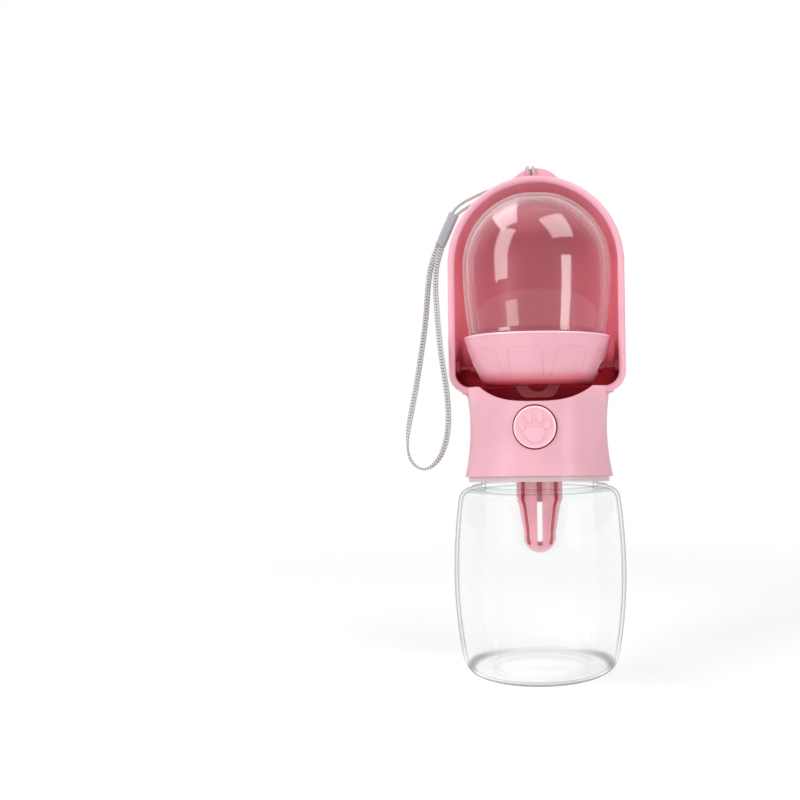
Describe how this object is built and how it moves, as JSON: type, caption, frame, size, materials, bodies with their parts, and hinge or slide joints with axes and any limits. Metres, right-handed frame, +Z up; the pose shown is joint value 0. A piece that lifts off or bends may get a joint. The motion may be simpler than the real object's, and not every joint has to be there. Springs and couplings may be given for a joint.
{
  "type": "dog travel water bottle",
  "caption": "Clear barrel bottle with a screw-on pink head; a hood shelters a tip-out drinking cup with a clear dome, a push button opens the valve and a wrist strap hangs at the side.",
  "frame": {"origin": "middle of the bottle's standing ring, on the surface that it stands on", "axes": "+Z up along the bottle's axis, -Y towards the push button and the open side of the hood, +X to the bottle's left as it faces you (the viewer's right)"},
  "size_m": [0.0944, 0.074, 0.2181],
  "materials": {
    "clear_bottle": "clear copolyester, polished",
    "clear_dome": "clear, polished",
    "pink_plastic": "satin to gloss moulding",
    "button_plastic": "gloss, with a raised paw",
    "pale_plastic": "pale translucent moulding",
    "cage_plastic": "satin",
    "silicone": "translucent silicone",
    "pink_silicone": "matt silicone",
    "seal_rubber": "black rubber",
    "steel": "stainless wire and pins",
    "filter_felt": "pressed fibre",
    "cord_fabric": "braided cord",
    "strap_fabric": "braided strap",
    "grey_plastic": "satin"
  },
  "bodies": {
    "bottle": {"bottle_body": "clear_bottle"},
    "rim_seal": {"neck_gasket": "silicone"},
    "plug_seal": {"plug_oring": "seal_rubber"},
    "head": {"head_shell": "pink_plastic", "thread_sleeve": "pale_plastic", "bulkhead": "pale_plastic", "valve_chamber": "pale_plastic", "chamber_screws": "steel", "valve_deck": "pink_plastic", "outlet_nozzle": "pink_silicone", "stem_oring": "seal_rubber", "valve_spring": "steel", "button_guide": "pale_plastic", "filter_oring": "seal_rubber", "hinge_pin_left": "pink_plastic", "hinge_pin_right": "pink_plastic", "carrying_cord": "cord_fabric", "strap_sleeve": "grey_plastic", "wrist_strap": "strap_fabric", "button_spring": "steel"},
    "valve": {"valve_stem": "pale_plastic", "valve_seal": "silicone", "lift_pin": "steel"},
    "button": {"push_button": "button_plastic"},
    "filter": {"filter_cage": "cage_plastic", "filter_cartridge": "filter_felt"},
    "cup": {"drinking_trough": "pink_plastic", "dome_seal": "silicone", "dome_window": "clear_dome"}
  },
  "joints": [
    {"name": "head_lift", "type": "slide", "parent": "bottle", "child": "rim_seal", "axis": [0, 0, 1], "range_m": [0, 0.05]},
    {"name": "head_rise", "type": "slide", "parent": "rim_seal", "child": "plug_seal", "axis": [0, 0, 1], "range_m": [0, 0.0051]},
    {"name": "head_unscrew", "type": "hinge", "parent": "plug_seal", "child": "head", "pos_m": [0, 0, 0.09], "axis": [0, 0, 1], "range_deg": [0, 450]},
    {"name": "button_press", "type": "slide", "parent": "head", "child": "button", "axis": [0, 1, 0], "range_m": [0, 0.0024], "stiffness_N_per_m": 400, "springref_m": -0.002, "deforming": ["button_spring"]},
    {"name": "valve_open", "type": "slide", "parent": "head", "child": "valve", "axis": [0, 0, 1], "range_m": [0, 0.0017], "deforming": ["valve_spring"]},
    {"name": "cage_pull", "type": "slide", "parent": "head", "child": "filter", "axis": [0, 0, -1], "range_m": [0, 0.012]},
    {"name": "cup_tip", "type": "hinge", "parent": "head", "child": "cup", "pos_m": [0, -0.005, 0.1298], "axis": [1, 0, 0], "range_deg": [0, 45]}
  ],
  "couplings": [
    {"joint": "head_rise", "follows": "head_unscrew", "m_per_rad": 0.00063662},
    {"joint": "valve_open", "follows": "button_press", "ratio": 0.66667}
  ]
}
